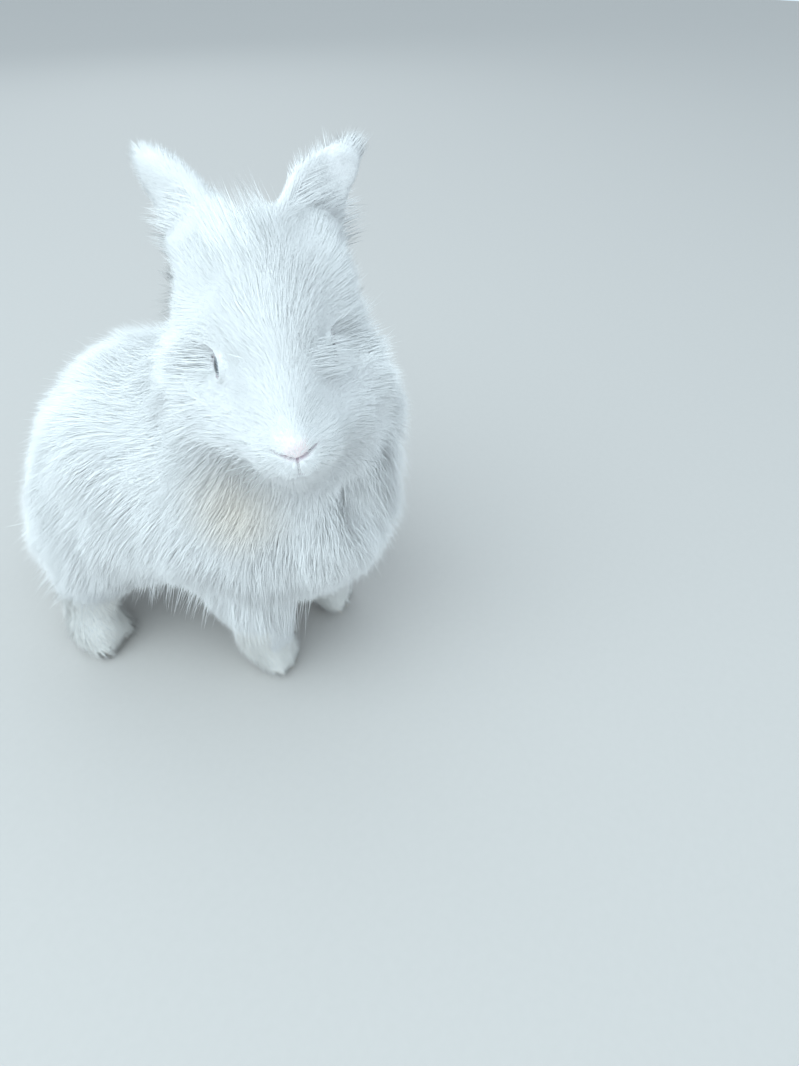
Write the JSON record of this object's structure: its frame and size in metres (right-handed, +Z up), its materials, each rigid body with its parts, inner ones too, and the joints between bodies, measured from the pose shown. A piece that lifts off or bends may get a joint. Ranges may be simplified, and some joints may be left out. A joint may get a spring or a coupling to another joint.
{
  "type": "angora rabbit model",
  "caption": "Still life-size model of a young white angora rabbit sitting up on its feet, ears raised, head turned to its right.",
  "frame": {"origin": "centre of the base of the whole box, on the floor under the body", "axes": "+Z up, the body faces -Y, the rabbit's left side is +X"},
  "size_m": [0.1452, 0.2326, 0.2517],
  "materials": {
    "coat": "long soft white angora wool",
    "foot_fur": "short dense fur, faintly cream",
    "ear_fur": "short velvety fur over pink skin",
    "eye": "wet, dark blue-grey",
    "skin": "soft matt pink skin",
    "claw": "translucent horn"
  },
  "bodies": {
    "root": {"head": "coat", "neck": "coat", "trunk": "coat", "tail": "coat", "ear_left": "ear_fur", "ear_right": "ear_fur", "eye_left": "eye", "eye_right": "eye", "fore_leg_left": "coat", "fore_leg_right": "coat", "fore_paw_left": "foot_fur", "fore_paw_right": "foot_fur", "thigh_left": "coat", "thigh_right": "coat", "hind_foot_left": "foot_fur", "hind_foot_right": "foot_fur"}
  },
  "joints": []
}
